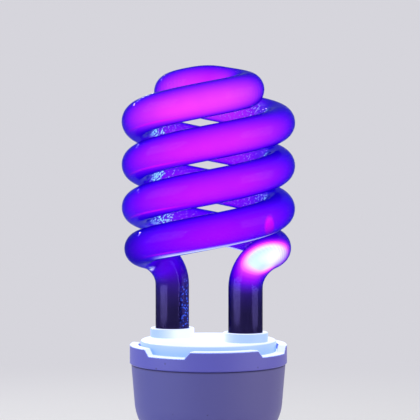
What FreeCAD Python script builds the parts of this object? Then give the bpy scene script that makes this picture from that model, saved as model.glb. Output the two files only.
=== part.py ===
import FreeCAD, Part
import math
import os

import Sketcher
from FreeCAD import Vector

# Spiral black light lamp with a screw cap: glass coil, cover, ballast and cap.
# The origin is on the bottom of the centre contact, +Z runs up the lamp's axis
# and -Y is the front. Lengths are in millimetres and angles in degrees.

SIZES = {
    # Spiral glass tube, two strands that join at the crown
    "tube_outside": 12.0,
    "coil_outside": 61.0,
    "turn_gap": 3.1,
    "coil_end_angle": 556.0,
    "curl_radius": 9.2,
    "crossing_length": 8.4,
    "crossing_angle": 180.0,
    "crossing_climb": 9.5,
    "leg_spread": 30.6,
    "leg_angle": -32.5,
    "lead_in_turn": 58.5,
    "elbow_radius": 12.0,
    "leg_length": 15.4,
    "leg_tail": 12.8,
    "pinch_length": 4.5,
    "pinch_width": 11.4,
    "pinch_thickness": 3.0,
    # Cover that carries the two legs
    "collar_outside": 15.6,
    "collar_height": 3.3,
    "collar_bevel": 0.25,
    "leg_clearance": 0.4,
    "sleeve_depth": 7.0,
    "disc_outside": 47.8,
    "disc_height": 4.1,
    "disc_round": 0.9,
    "groove_width": 0.8,
    "block_height": 2.5,
    "notch_count": 4,
    "notch_width": 14.6,
    "notch_flare": 2.1,
    "band_outside": 55.4,
    "band_height": 4.4,
    "edge_round": 0.35,
    "cover_wall": 1.6,
    "skirt_wall": 1.4,
    "snap_clearance": 0.15,
    "snap_height": 0.4,
    "snap_reach": 1.2,
    "snap_depth": 5.0,
    "cement_fill": 3.0,
    "cement_bead": 1.4,
    # Ballast housing
    "rim_outside": 54.4,
    "housing_height": 36.5,
    "housing_wall": 1.6,
    "housing_taper": 4.8,
    "bowl_drop": 20.5,
    "bowl_round": 17.0,
    "neck_outside": 28.8,
    "neck_height": 5.5,
    "neck_round": 5.0,
    "rib_count": 4,
    "rib_width": 1.5,
    "rib_reach": 2.8,
    "rib_height": 3.6,
    # Screw cap, E27
    "cap_height": 25.5,
    "cap_skirt": 4.0,
    "cap_fit": 0.1,
    "shell_sheet": 0.33,
    "thread_outside": 26.2,
    "thread_root": 24.26,
    "thread_pitch": 3.629,
    "thread_round": 1.025,
    "thread_start": 7.2,
    "thread_run_in": 0.2,
    "thread_angle": 120.0,
    "lip_opening": 18.8,
    "lip_height": 5.0,
    "insulator_foot": 11.2,
    "insulator_top": 6.5,
    "contact_outside": 9.6,
    "contact_height": 0.9,
    "contact_round": 0.4,
    "rivet_outside": 2.8,
    "rivet_bore": 1.5,
    "rivet_height": 2.1,
    # Circuit board and its wires
    "board_depth": 10.0,
    "board_thickness": 1.6,
    "board_clearance": 0.5,
    "board_hold": 0.2,
    "part_gap": 1.0,
    "lead_wire": 0.6,
    "lead_spacing": 5.0,
    "lead_hole": 0.9,
    "mains_wire": 1.2,
    "mains_wire_radius": 8.6,
    "shell_wire_angle": 45.0,
    "contact_wire_angle": -45.0,
    "shell_wire_bend": 1.6,
    "contact_wire_bend": 3.0,
    "contact_wire_turn": 20.0,
    "contact_wire_axis": 12.0,
    # Parts under the board
    "can_diameter": 13.0,
    "can_length": 22.0,
    "can_crimp": 0.5,
    "can_crimp_depth": 2.5,
    "can_round": 0.8,
    "core_width": 13.0,
    "core_depth": 6.0,
    "core_height": 12.0,
    "core_yoke": 2.2,
    "core_centre": 3.6,
    "bobbin_wall": 0.6,
    "bobbin_clearance": 0.1,
    "winding_build": 1.5,
    "ring_outside": 9.0,
    "ring_inside": 5.0,
    "ring_height": 4.0,
    "ring_wire": 0.5,
    "ring_wire_gap": 0.1,
    "ring_angle": 50.0,
    "ring_groups": 3,
    "ring_turns": 3,
    "ring_turn_step": 22.0,
    "transistor_width": 7.8,
    "transistor_depth": 2.8,
    "transistor_height": 10.8,
    "transistor_hole": 3.2,
    "transistor_legs": 2.5,
    "transistor_leg": 0.7,
    "transistor_leg_step": 2.3,
    "film_width": 12.0,
    "film_depth": 5.0,
    "film_height": 10.0,
    "start_width": 10.0,
    "start_depth": 4.0,
    "start_height": 8.0,
    "film_round": 0.8,
    "drum_outside": 8.0,
    "drum_waist": 4.4,
    "drum_height": 9.0,
    "drum_flange": 1.5,
    "drum_winding": 7.2,
    "diode_diameter": 2.7,
    "diode_length": 4.2,
    "diode_step": 6.0,
    "diode_count": 4,
    "diode_row_gap": 3.0,
    "diode_row_shift": 1.5,
    "lying_gap": 2.0,
    "resistor_diameter": 2.3,
    "resistor_waist": 1.9,
    "resistor_length": 6.0,
    "resistor_end": 1.2,
    "resistor_step": 3.2,
    "resistor_count": 3,
    "trigger_diameter": 1.9,
    "trigger_length": 4.0,
    "fuse_diameter": 3.2,
    "fuse_length": 8.0,
}

# The tube has two legs, half a turn apart
LEGS = 2
# Edges and points closer than this are the same
TOUCH = 1e-4
# Greatest turn between two points of a curve that follows a formula, and the fewest steps
CURVE_STEP = math.radians(15)
FEWEST_STEPS = 4

doc = FreeCAD.newDocument("spiral_black_light_lamp")
dims = doc.addObject("Spreadsheet::Sheet", "dims")
for row, (word, amount) in enumerate(SIZES.items(), start=1):
    dims.set(f"A{row}", word)
    dims.set(f"B{row}", str(amount))
    dims.setAlias(f"B{row}", word)
doc.recompute()

# Heights that several pieces share, as formulas on the sheet
PARTING = "(dims.cap_height + dims.housing_height)"
GROOVE_FLOOR = f"({PARTING} + dims.band_height)"
BLOCK_TOP = f"({GROOVE_FLOOR} + dims.block_height)"
DISC_TOP = f"({GROOVE_FLOOR} + dims.disc_height)"
COLLAR_TOP = f"({DISC_TOP} + dims.collar_height)"
ELBOW = f"({COLLAR_TOP} + dims.leg_length)"
SLEEVE_BOTTOM = f"({DISC_TOP} - dims.sleeve_depth)"
FOOT = f"({COLLAR_TOP} - dims.leg_tail)"
PINCH_BOTTOM = f"({FOOT} - dims.pinch_length)"
BOARD_BOTTOM = f"({PARTING} - dims.board_depth)"
BOARD_TOP = f"({BOARD_BOTTOM} + dims.board_thickness)"
SKIRT_BOTTOM = f"({BOARD_TOP} + dims.board_hold)"
SNAP_HEIGHT = f"({PARTING} - dims.snap_depth)"
CAP_STEP = "(dims.cap_height - dims.cap_skirt)"
SHELL_WIRE = "(dims.thread_start + dims.shell_sheet + dims.mains_wire / 2 + dims.cap_fit)"
PLUG_BOTTOM = f"({SHELL_WIRE} + dims.mains_wire / 2 + dims.cap_fit)"

# Radii that several pieces share
LEG_RADIUS = "(dims.leg_spread / 2)"
COLLAR_BORE = "(dims.tube_outside / 2 + dims.leg_clearance)"
SHELL_BORE = "(dims.thread_root / 2 - dims.shell_sheet)"
SKIRT_BORE = "(dims.thread_outside / 2 - dims.shell_sheet)"
CAN_RADIUS = "(dims.can_diameter / 2)"


def housing_bore(height):
    """Radius of the housing's tapered inside at a height."""
    slope = "tan(dims.housing_taper * 1deg)"
    return f"(dims.rim_outside / 2 - dims.housing_wall - ({PARTING} - {height}) * {slope})"


BOARD_RADIUS = f"({housing_bore(BOARD_BOTTOM)} - dims.board_clearance)"


def number(formula):
    """The value of a formula on the sheet."""
    result = dims.evalExpression(formula)
    return float(getattr(result, "Value", result))


def size(word):
    """The value of one named cell."""
    return float(dims.get(word))


def bind(thing, **formulas):
    """Tie an object's sizes to the sheet."""
    for name, formula in formulas.items():
        thing.setExpression(name, formula)
    return thing


def place(thing, x="0", y="0", z="0", turn=None, axis=Vector(0, 0, 1)):
    """Tie an object's position, and its turn about one axis, to the sheet."""
    thing.Placement = FreeCAD.Placement(Vector(), FreeCAD.Rotation(axis, 0))
    thing.setExpression("Placement.Base.x", x)
    thing.setExpression("Placement.Base.y", y)
    thing.setExpression("Placement.Base.z", z)
    if turn is not None:
        thing.Placement.Rotation = FreeCAD.Rotation(axis, number(turn))
        thing.setExpression("Placement.Rotation.Angle", turn)
    return thing


def polar(radius, angle):
    """Formulas of x and y at a radius and an angle about the lamp's axis."""
    return (f"{radius} * cos({angle} * 1deg)", f"{radius} * sin({angle} * 1deg)")


def new(kind, name):
    return doc.addObject(kind, name)


def cylinder(name, radius, height, x="0", y="0", z="0"):
    return place(bind(new("Part::Cylinder", name), Radius=radius, Height=height), x, y, z)


def box(name, width, depth, height, x="0", y="0", z="0"):
    """A box that is centred on x and y and stands on z."""
    solid = bind(new("Part::Box", name), Length=width, Width=depth, Height=height)
    return place(solid, f"{x} - ({width}) / 2", f"{y} - ({depth}) / 2", z)


def cut(name, base, tool):
    result = new("Part::Cut", name)
    result.Base = base
    result.Tool = tool
    return result


def fuse(name, solids):
    result = new("Part::MultiFuse", name)
    result.Shapes = solids
    result.Refine = False
    return result


def group(name, solids):
    result = new("Part::Compound", name)
    result.Links = solids
    return result


def sweep(name, path, radius, x, y, z, turn="0", axis=Vector(0, 0, 1), frenet=False):
    """A round bar along a path that starts at x, y and z."""
    section = bind(new("Part::Circle", f"{name}_section"), Radius=radius)
    place(section, x, y, z, turn, axis)
    result = new("Part::Sweep", name)
    result.Sections = [section]
    result.Spine = (path, [f"Edge{i}" for i in range(1, len(path.Shape.Edges) + 1)])
    result.Solid = True
    result.Frenet = frenet
    return result


def origin_feature(body, role):
    return next(item for item in body.Origin.OriginFeatures if item.Role == role)


def sketch_on(body, name, role):
    sketch = body.newObject("Sketcher::SketchObject", name)
    sketch.AttachmentSupport = (origin_feature(body, role), [""])
    sketch.MapMode = "FlatFace"
    return sketch


def pin_point(sketch, edge, end, across, up):
    """Hold a sketch point at two formulas, measured from the sketch's origin."""
    for kind, axis, formula in (("DistanceX", -2, across), ("DistanceY", -1, up)):
        if formula == "0":
            sketch.addConstraint(Sketcher.Constraint("PointOnObject", edge, end, axis))
        else:
            held = Sketcher.Constraint(kind, -1, 1, edge, end, number(formula))
            index = sketch.addConstraint(held)
            sketch.setExpression(f"Constraints[{index}]", formula)


def outline(body, name, corners, role="XZ_Plane"):
    """A closed sketch of straight lines whose corners are pairs of formulas."""
    sketch = sketch_on(body, name, role)
    points = [Vector(number(across), number(up), 0) for across, up in corners]
    count = len(points)
    for i in range(count):
        sketch.addGeometry(Part.LineSegment(points[i], points[(i + 1) % count]), False)
    for i in range(count):
        sketch.addConstraint(Sketcher.Constraint("Coincident", i, 2, (i + 1) % count, 1))
    for i, (across, up) in enumerate(corners):
        pin_point(sketch, i, 1, across, up)
    return sketch


def ring_sketch(body, name, across, up, radius, role="XY_Plane"):
    """A sketch of one circle whose centre and radius are formulas."""
    sketch = sketch_on(body, name, role)
    centre = Vector(number(across), number(up), 0)
    sketch.addGeometry(Part.Circle(centre, Vector(0, 0, 1), number(radius)), False)
    pin_point(sketch, 0, 3, across, up)
    index = sketch.addConstraint(Sketcher.Constraint("Radius", 0, number(radius)))
    sketch.setExpression(f"Constraints[{index}]", radius)
    return sketch


def revolve(body, name, corners):
    """A piece turned about the body's own Z axis."""
    feature = body.newObject("PartDesign::Revolution", name)
    feature.Profile = outline(body, f"{name}_outline", corners)
    feature.ReferenceAxis = (feature.Profile[0], ["V_Axis"])
    feature.Angle = 360
    return feature


def turned(name, corners):
    body = new("PartDesign::Body", name)
    revolve(body, f"{name}_turned", corners)
    return body


def raise_pad(body, name, sketch, length):
    feature = body.newObject("PartDesign::Pad", name)
    feature.Profile = sketch
    return bind(feature, Length=length)


def sink_pocket(body, name, sketch, length, reverse=False):
    feature = body.newObject("PartDesign::Pocket", name)
    feature.Profile = sketch
    feature.Reversed = reverse
    return bind(feature, Length=length)


def around(body, name, feature, copies):
    """Repeat a feature evenly about the body's Z axis."""
    pattern = body.newObject("PartDesign::PolarPattern", name)
    pattern.Originals = [feature]
    pattern.Axis = (origin_feature(body, "Z_Axis"), [""])
    pattern.Angle = 360
    pattern.Occurrences = copies
    body.Tip = pattern
    return pattern


def soften(body, name, kind, measure, chosen):
    """Round or bevel the edges of a body that a test picks."""
    doc.recompute()
    base = body.Tip
    edges = [f"Edge{i}" for i, edge in enumerate(base.Shape.Edges, 1) if chosen(edge)]
    feature = body.newObject(f"PartDesign::{kind}", name)
    feature.Base = (base, edges)
    feature.setExpression("Radius" if kind == "Fillet" else "Size", measure)
    return feature


def is_ring(edge, radius, height):
    """True for a full or part circle about the lamp's axis at this radius and height."""
    if edge.Curve.TypeId != "Part::GeomCircle":
        return False
    centre = edge.Curve.Center
    on_axis = math.hypot(centre.x, centre.y) < TOUCH
    return on_axis and abs(edge.Curve.Radius - radius) < TOUCH and abs(centre.z - height) < TOUCH


def is_upright(edge):
    return edge.Curve.TypeId == "Part::GeomLine" and abs(edge.tangentAt(edge.FirstParameter).z) > 1 - TOUCH


def is_level_at(edge, height):
    box_of_edge = edge.BoundBox
    return abs(box_of_edge.ZMin - height) < TOUCH and abs(box_of_edge.ZMax - height) < TOUCH


def smooth_edge(along, length, turn):
    """One smooth edge through a formula that gives place and direction along a length."""
    count = max(FEWEST_STEPS, math.ceil(abs(turn) / CURVE_STEP))
    stations = [along(length * i / count) for i in range(count + 1)]
    curve = Part.BSplineCurve()
    points = [point for point, way in stations]
    ways = [way for point, way in stations]
    curve.interpolate(Points=points, Tangents=ways, TangentFlags=[True] * len(points))
    return curve.toShape(), points[-1]


def rising_arc(centre, radius, start, turn, height, slope, last_slope):
    """An arc in plan that climbs with a slope changing evenly from first to last."""
    length = radius * turn

    def along(run):
        angle = start + run / radius
        change = (last_slope - slope) * run / length
        rise = height + (slope + change / 2) * run
        spot = Vector(centre.x + radius * math.cos(angle), centre.y + radius * math.sin(angle), rise)
        return spot, Vector(-math.sin(angle), math.cos(angle), slope + change)

    return smooth_edge(along, length, turn)


def levelling_run(start, ahead, length, slope):
    """A run straight in plan whose slope falls evenly to level at its end."""
    def along(run):
        left = 1 - run / length
        rise = slope * (1 + left) / 2 * run
        return start + ahead * run + Vector(0, 0, rise), ahead + Vector(0, 0, slope * left)

    return smooth_edge(along, length, slope)


def strand():
    """Edges of one half of the tube, from its foot to the middle of the crown."""
    coil = (size("coil_outside") - size("tube_outside")) / 2
    lead = LEGS * (size("tube_outside") + size("turn_gap"))
    slope = lead / (2 * math.pi * coil)
    reach = number(LEG_RADIUS)
    leg_angle = math.radians(size("leg_angle"))
    leg = Vector(reach * math.cos(leg_angle), reach * math.sin(leg_angle), 0)
    elbow_height = number(ELBOW)
    foot, top = leg + Vector(0, 0, number(FOOT)), leg + Vector(0, 0, elbow_height)
    edges = [Part.LineSegment(foot, top).toShape()]

    # The lead-in arc passes through the leg and meets the coil's circle without a kink
    turn = math.radians(size("lead_in_turn"))
    chord = reach**2 + coil**2 - 2 * reach * coil * math.cos(turn)
    lead_in = chord / (2 * (coil - reach * math.cos(turn)))
    joint = leg_angle + turn
    centre = Vector((coil - lead_in) * math.cos(joint), (coil - lead_in) * math.sin(joint), 0)
    start = math.atan2(leg.y - centre.y, leg.x - centre.x)
    bend = size("elbow_radius")
    bend_turn = math.pi / 2 - math.atan(slope)

    def elbow(angle):
        along = start + bend * (1 - math.cos(angle)) / lead_in
        flat = Vector(math.cos(along), math.sin(along), 0) * lead_in
        way = Vector(-math.sin(along), math.cos(along), 0) * math.sin(angle)
        climb = elbow_height + bend * math.sin(angle)
        return centre + flat + Vector(0, 0, climb), way + Vector(0, 0, math.cos(angle))

    edge, end = smooth_edge(elbow, bend_turn, bend_turn)
    edges.append(edge)
    after = start + bend * (1 - math.cos(bend_turn)) / lead_in
    edge, end = rising_arc(centre, lead_in, after, joint - after, end.z, slope, slope)
    edges.append(edge)
    last = math.radians(size("coil_end_angle"))
    edge, end = rising_arc(Vector(), coil, joint, last - joint, end.z, slope, slope)
    edges.append(edge)

    # The crown turns in over the coil, curls round, and runs straight to the axis, where it is level.
    # Its arc is the one that touches both the coil's circle and the curl's
    curl, crossing = size("curl_radius"), size("crossing_length") / 2
    heading = math.radians(size("crossing_angle"))
    ahead = Vector(math.cos(heading), math.sin(heading), 0)
    curl_centre = Vector(-ahead.y, ahead.x, 0) * curl - ahead * crossing
    outward = Vector(math.cos(last), math.sin(last), 0)
    beside = curl_centre.dot(outward)
    apart = coil**2 + crossing**2 - 2 * coil * beside
    crown = apart / (2 * (coil - beside - curl))
    crown_centre = outward * (coil - crown)
    meeting = math.atan2(curl_centre.y - crown_centre.y, curl_centre.x - crown_centre.x)
    crown_turn = (meeting - last) % (2 * math.pi)
    curl_turn = (heading - math.pi / 2 - meeting) % (2 * math.pi)
    climb = math.tan(math.radians(size("crossing_climb")))
    edge, end = rising_arc(crown_centre, crown, last, crown_turn, end.z, slope, slope)
    edges.append(edge)
    edge, end = rising_arc(curl_centre, curl, meeting, curl_turn, end.z, slope, climb)
    edges.append(edge)
    edge, end = levelling_run(end, ahead, crossing, climb)
    edges.append(edge)
    return edges


def tube_path(name):
    """Both strands as one path, the second being the first turned half round."""
    first = strand()
    second = []
    for edge in first:
        turned_edge = edge.copy()
        turned_edge.rotate(Vector(), Vector(0, 0, 1), 360 / LEGS)
        second.append(turned_edge)
    path = new("Part::Feature", name)
    path.Shape = Part.Wire(Part.__sortEdges__(first + second[::-1]))
    return path


def pinched_foot(name, turn):
    """The leg's end, pressed flat while hot round its two lead wires."""
    x, y = polar(LEG_RADIUS, f"(dims.leg_angle + {turn})")
    along = f"dims.leg_angle + {turn} + 90"
    mouth = bind(new("Part::Circle", f"{name}_mouth"), Radius="dims.tube_outside / 2")
    flat = new("Part::Ellipse", f"{name}_flat")
    bind(flat, MajorRadius="dims.pinch_width / 2", MinorRadius="dims.pinch_thickness / 2")
    place(mouth, x, y, FOOT, along)
    place(flat, x, y, PINCH_BOTTOM, along)
    foot = new("Part::Loft", name)
    foot.Sections = [mouth, flat]
    foot.Solid = True
    return foot


def make_spiral_tube():
    """The sealed tube, whose dark glass can't be seen into, as one solid from foot to foot."""
    x, y = polar(LEG_RADIUS, "dims.leg_angle")
    coil = sweep("tube_coil", tube_path("tube_path"), "dims.tube_outside / 2", x, y, FOOT)
    feet = [pinched_foot("pinched_foot_1", "0"), pinched_foot("pinched_foot_2", "180")]
    return fuse("spiral_tube", [coil] + feet)


def make_tube_cover():
    """White cover: a rim of castle blocks round a raised disc with two collars, and a snap skirt."""
    body = new("PartDesign::Body", "tube_cover")
    disc, band = "dims.disc_outside / 2", "dims.band_outside / 2"
    ledge = f"{GROOVE_FLOOR} - dims.cover_wall"
    block = f"{disc} + dims.groove_width"
    disc_bore = f"{disc} - dims.cover_wall"

    def skirt(height):
        return f"({housing_bore(height)} - dims.snap_clearance)"

    snap_top = f"({SNAP_HEIGHT} + dims.snap_reach)"
    snap_low = f"({SNAP_HEIGHT} - dims.snap_reach)"
    revolve(body, "rim_and_skirt", [
        (disc_bore, GROOVE_FLOOR),
        (block, GROOVE_FLOOR),
        (block, BLOCK_TOP),
        (band, BLOCK_TOP),
        (band, PARTING),
        (skirt(PARTING), PARTING),
        (skirt(snap_top), snap_top),
        (f"{skirt(SNAP_HEIGHT)} + dims.snap_height", SNAP_HEIGHT),
        (skirt(snap_low), snap_low),
        (skirt(SKIRT_BOTTOM), SKIRT_BOTTOM),
        (f"{skirt(SKIRT_BOTTOM)} - dims.skirt_wall", SKIRT_BOTTOM),
        (f"{skirt(PARTING)} - dims.skirt_wall", PARTING),
        (f"{skirt(PARTING)} - dims.skirt_wall", ledge),
        (disc_bore, ledge),
    ])
    band_radius, parting, block_top = number(band), number(PARTING), number(BLOCK_TOP)
    rings = [(band_radius, parting), (band_radius, block_top), (number(block), block_top)]
    soften(body, "rim_bevels", "Chamfer", "dims.edge_round",
           lambda edge: any(is_ring(edge, *ring) for ring in rings))

    # Sloped notches turn the rim into castle blocks, the first of them midway between the legs
    turn = "(90 + dims.leg_angle)"
    half = "(dims.notch_width / 2)"
    flare = f"({half} + dims.notch_flare)"
    notch = outline(body, "notch_outline", [
        (f"-{half}", GROOVE_FLOOR),
        (half, GROOVE_FLOOR),
        (flare, BLOCK_TOP),
        (f"-{flare}", BLOCK_TOP),
    ])
    notch.AttachmentOffset = FreeCAD.Placement(Vector(), FreeCAD.Rotation(Vector(0, 1, 0), number(turn)))
    notch.setExpression("AttachmentOffset.Rotation.Angle", turn)
    first_notch = sink_pocket(body, "first_notch", notch, band, reverse=True)
    around(body, "notches", first_notch, int(size("notch_count")))

    revolve(body, "raised_disc", [
        ("0", f"{DISC_TOP} - dims.cover_wall"),
        ("0", DISC_TOP),
        (disc, DISC_TOP),
        (disc, GROOVE_FLOOR),
        (disc_bore, GROOVE_FLOOR),
        (disc_bore, f"{DISC_TOP} - dims.cover_wall"),
    ])
    disc_radius, disc_top = number(disc), number(DISC_TOP)
    soften(body, "disc_rounding", "Fillet", "dims.disc_round",
           lambda edge: is_ring(edge, disc_radius, disc_top))

    collar = ring_sketch(body, "collar_outline", LEG_RADIUS, "0", "dims.collar_outside / 2")
    collar.setExpression("AttachmentOffset.Base.z", SLEEVE_BOTTOM)
    collar.setExpression("AttachmentOffset.Rotation.Angle", "dims.leg_angle")
    first_collar = raise_pad(body, "first_collar", collar, f"{COLLAR_TOP} - {SLEEVE_BOTTOM}")
    around(body, "collars", first_collar, LEGS)
    bore = ring_sketch(body, "bore_outline", LEG_RADIUS, "0", COLLAR_BORE)
    bore.setExpression("AttachmentOffset.Base.z", COLLAR_TOP)
    bore.setExpression("AttachmentOffset.Rotation.Angle", "dims.leg_angle")
    first_bore = sink_pocket(body, "first_bore", bore, f"{COLLAR_TOP} - {SLEEVE_BOTTOM}")
    around(body, "leg_bores", first_bore, LEGS)
    collar_top = number(COLLAR_TOP)
    soften(body, "collar_bevels", "Chamfer", "dims.collar_bevel",
           lambda edge: is_level_at(edge, collar_top))
    return body


def make_leg_cement(count, turn):
    """Ring of cement between a leg and its sleeve, with a bead under the sleeve."""
    glass = "dims.tube_outside / 2"
    body = turned(f"leg_cement_{count}", [
        (glass, f"{SLEEVE_BOTTOM} - dims.cement_bead"),
        (COLLAR_BORE, f"{SLEEVE_BOTTOM} - dims.cement_bead"),
        ("dims.collar_outside / 2", SLEEVE_BOTTOM),
        (COLLAR_BORE, SLEEVE_BOTTOM),
        (COLLAR_BORE, f"{SLEEVE_BOTTOM} + dims.cement_fill"),
        (glass, f"{SLEEVE_BOTTOM} + dims.cement_fill"),
    ])
    x, y = polar(LEG_RADIUS, f"(dims.leg_angle + {turn})")
    return place(body, x, y)


def make_ballast_housing():
    body = new("PartDesign::Body", "ballast_housing")
    bowl = f"({PARTING} - dims.bowl_drop)"
    neck = "dims.neck_outside / 2"
    neck_top = "(dims.cap_height + dims.neck_height)"
    bowl_radius = "(dims.rim_outside / 2 - dims.bowl_drop * tan(dims.housing_taper * 1deg))"
    cone = f"(({bowl} - {neck_top}) / ({bowl_radius} - {neck}))"
    plug = f"({SHELL_BORE} - dims.cap_fit)"
    skirt_plug = f"({SKIRT_BORE} - dims.cap_fit)"
    step = f"{CAP_STEP} + dims.cap_fit"
    hollow = f"({plug} - dims.housing_wall)"
    bowl_inside = f"({bowl} + dims.housing_wall / 2)"
    bowl_bore = housing_bore(bowl_inside)
    funnel = f"({bowl_inside} - ({bowl_bore} - {hollow}) * {cone})"
    snap_top = f"({SNAP_HEIGHT} + dims.snap_reach)"
    snap_low = f"({SNAP_HEIGHT} - dims.snap_reach)"
    revolve(body, "housing_shell", [
        ("dims.rim_outside / 2", PARTING),
        (bowl_radius, bowl),
        (neck, neck_top),
        (neck, "dims.cap_height"),
        (skirt_plug, "dims.cap_height"),
        (skirt_plug, step),
        (plug, step),
        (plug, PLUG_BOTTOM),
        (hollow, PLUG_BOTTOM),
        (hollow, funnel),
        (bowl_bore, bowl_inside),
        (housing_bore(snap_low), snap_low),
        (f"{housing_bore(SNAP_HEIGHT)} + dims.snap_height", SNAP_HEIGHT),
        (housing_bore(snap_top), snap_top),
        (housing_bore(PARTING), PARTING),
    ])
    outer_bowl = (number(bowl_radius), number(bowl))
    inner_bowl = (number(bowl_bore), number(bowl_inside))
    neck_corner = (number(neck), number(neck_top))
    rim = (size("rim_outside") / 2, number(PARTING))
    soften(body, "bowl_rounding", "Fillet", "dims.bowl_round", lambda edge: is_ring(edge, *outer_bowl))
    soften(body, "bowl_inside_rounding", "Fillet", "dims.bowl_round - dims.housing_wall",
           lambda edge: is_ring(edge, *inner_bowl))
    soften(body, "neck_rounding", "Fillet", "dims.neck_round", lambda edge: is_ring(edge, *neck_corner))
    soften(body, "rim_bevel", "Chamfer", "dims.edge_round", lambda edge: is_ring(edge, *rim))

    # Ribs carry the circuit board
    half = "(dims.rib_width / 2)"
    rib_foot = f"({BOARD_BOTTOM} - dims.rib_height)"
    rib_inner = f"({BOARD_RADIUS} - dims.rib_reach)"
    rib_outer = f"({housing_bore(rib_foot)} + dims.housing_wall / 2)"
    rib = outline(body, "rib_outline", [
        (rib_inner, f"-{half}"),
        (rib_outer, f"-{half}"),
        (rib_outer, half),
        (rib_inner, half),
    ], role="XY_Plane")
    rib.setExpression("AttachmentOffset.Base.z", rib_foot)
    first_rib = raise_pad(body, "first_rib", rib, "dims.rib_height")
    around(body, "board_ribs", first_rib, int(size("rib_count")))
    return body


def make_screw_shell():
    """Sheet cap with a round rolled thread and a plain skirt at its rim."""
    lip = "dims.lip_opening / 2"
    root, crest = "dims.thread_root / 2", "dims.thread_outside / 2"
    flare = f"({CAP_STEP} - ({crest} - {root}))"
    body = turned("shell_blank", [
        (lip, "dims.lip_height"),
        (root, "dims.thread_start"),
        (root, flare),
        (crest, CAP_STEP),
        (crest, "dims.cap_height"),
        (SKIRT_BORE, "dims.cap_height"),
        (SKIRT_BORE, CAP_STEP),
        (SHELL_BORE, flare),
        (SHELL_BORE, "dims.thread_start + dims.shell_sheet"),
        (lip, "dims.lip_height + dims.shell_sheet"),
    ])
    helix = new("Part::Helix", "thread_path")
    middle = f"({crest} - dims.thread_round)"
    end_room = "(dims.thread_run_in + dims.thread_round)"
    start = f"(dims.thread_start + {end_room})"
    bind(helix, Pitch="dims.thread_pitch", Height=f"{flare} - {end_room} - {start}", Radius=middle)
    place(helix, z=start)
    doc.recompute()
    thread = sweep("thread_ridge", helix, "dims.thread_round", middle, "0", start,
                   turn="90", axis=Vector(1, 0, 0), frenet=True)
    middle_of_sheet = f"({root} - dims.shell_sheet / 2)"
    core = cylinder("thread_core", middle_of_sheet, "dims.cap_height")
    ridge = place(cut("thread_outer_half", thread, core), turn="dims.thread_angle")
    return fuse("screw_shell", [body, ridge])


def make_cap_insulator():
    rivet = "dims.rivet_outside / 2"
    return turned("cap_insulator", [
        (rivet, "dims.contact_height"),
        ("dims.insulator_foot / 2", "dims.contact_height"),
        ("dims.lip_opening / 2", "dims.lip_height"),
        ("dims.lip_opening / 2", "dims.insulator_top"),
        (rivet, "dims.insulator_top"),
    ])


def make_centre_contact():
    edge, rivet, bore = "dims.contact_outside / 2", "dims.rivet_outside / 2", "dims.rivet_bore / 2"
    rivet_top = "dims.contact_height + dims.rivet_height"
    return turned("centre_contact", [
        ("0", "0"),
        (f"{edge} - dims.contact_round", "0"),
        (edge, "dims.contact_round"),
        (edge, "dims.contact_height"),
        (rivet, "dims.contact_height"),
        (rivet, rivet_top),
        (bore, rivet_top),
        (bore, "dims.contact_height"),
        ("0", "dims.contact_height"),
    ])


def make_ballast_board():
    """Round board with a hole for each lead wire of the tube."""
    body = new("PartDesign::Body", "ballast_board")
    disc = ring_sketch(body, "board_outline", "0", "0", BOARD_RADIUS)
    disc.setExpression("AttachmentOffset.Base.z", BOARD_BOTTOM)
    raise_pad(body, "board_disc", disc, "dims.board_thickness")
    for count, sign in ((1, "+"), (2, "-")):
        across = f"{sign}dims.lead_spacing / 2"
        hole = ring_sketch(body, f"lead_hole_{count}_outline", LEG_RADIUS, across, "dims.lead_hole / 2")
        hole.setExpression("AttachmentOffset.Base.z", BOARD_TOP)
        hole.setExpression("AttachmentOffset.Rotation.Angle", "dims.leg_angle")
        first_hole = sink_pocket(body, f"lead_hole_{count}", hole, "dims.board_thickness")
        around(body, f"lead_holes_{count}", first_hole, LEGS)
    return body


def make_filament_lead(count, turn, sign):
    """Wire from a pinched foot down through the board."""
    angle = f"((dims.leg_angle + {turn}) * 1deg)"
    across = f"({sign}dims.lead_spacing / 2)"
    x = f"{LEG_RADIUS} * cos{angle} - {across} * sin{angle}"
    y = f"{LEG_RADIUS} * sin{angle} + {across} * cos{angle}"
    length = f"{PINCH_BOTTOM} - {BOARD_BOTTOM}"
    return cylinder(f"filament_lead_{count}", "dims.lead_wire / 2", length, x, y, BOARD_BOTTOM)


def rounded_path(name, points, bend):
    """Straight runs joined by tangent arcs of one radius."""
    edges = []
    start = points[0]
    for before, corner, after in zip(points, points[1:], points[2:]):
        back = (before - corner).normalize()
        ahead = (after - corner).normalize()
        half = back.getAngle(ahead) / 2
        setback = bend / math.tan(half)
        inward = (back + ahead).normalize()
        middle = corner + inward * (bend / math.sin(half) - bend)
        first, last = corner + back * setback, corner + ahead * setback
        edges.append(Part.LineSegment(start, first).toShape())
        edges.append(Part.Arc(first, middle, last).toShape())
        start = last
    edges.append(Part.LineSegment(start, points[-1]).toShape())
    path = new("Part::Feature", name)
    path.Shape = Part.Wire(edges)
    return path


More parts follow.
